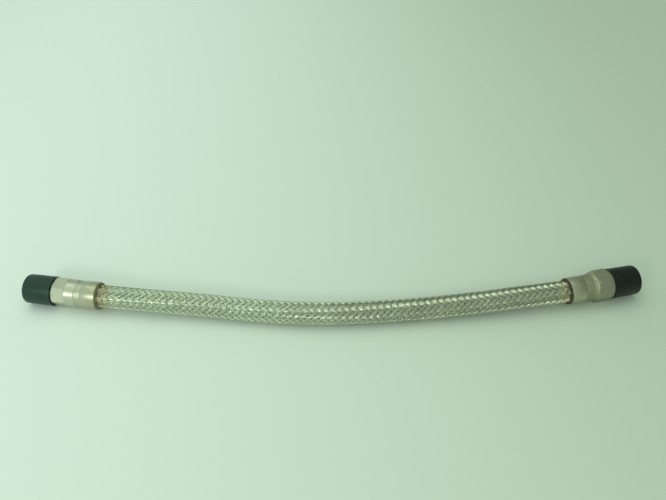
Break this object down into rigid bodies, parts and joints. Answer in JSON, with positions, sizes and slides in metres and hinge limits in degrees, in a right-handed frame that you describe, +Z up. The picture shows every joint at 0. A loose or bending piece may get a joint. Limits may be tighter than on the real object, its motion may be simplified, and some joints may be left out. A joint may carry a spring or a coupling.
{
  "type": "wire-braided flexible metal hose",
  "caption": "Steel hose in a woven wire braid, gently bowed, with a hexagon pipe fitting, a collar and a black thread cap at each end.",
  "frame": {"origin": "on the surface the hose lies on, under the middle of the box around its two end assemblies", "axes": "+X from the left cap to the right cap, +Z up, the hose bows towards -Y"},
  "size_m": [0.5325, 0.0544, 0.0264],
  "materials": {
    "braid_steel": "bright drawn stainless wire, slightly yellowed, heat-tinted brown near each collar",
    "inner_hose_steel": "thin formed stainless strip, dull",
    "left_fitting_steel": "turned stainless steel with fine tool marks",
    "right_fitting_steel": "turned stainless steel, a little duller and browner",
    "collar_steel": "smooth drawn stainless sleeve",
    "dark_braze": "oxidised, dark brown and uneven",
    "black_cap_plastic": "moulded black plastic, satin"
  },
  "bodies": {
    "root": {"wire_braid": "braid_steel", "corrugated_inner_hose": "inner_hose_steel", "left_fitting": "left_fitting_steel", "right_fitting": "right_fitting_steel", "left_collar": "collar_steel", "right_collar": "collar_steel", "left_braze_ring": "dark_braze", "right_braze_ring": "dark_braze", "left_thread_cap": "black_cap_plastic", "right_thread_cap": "black_cap_plastic"}
  },
  "joints": []
}
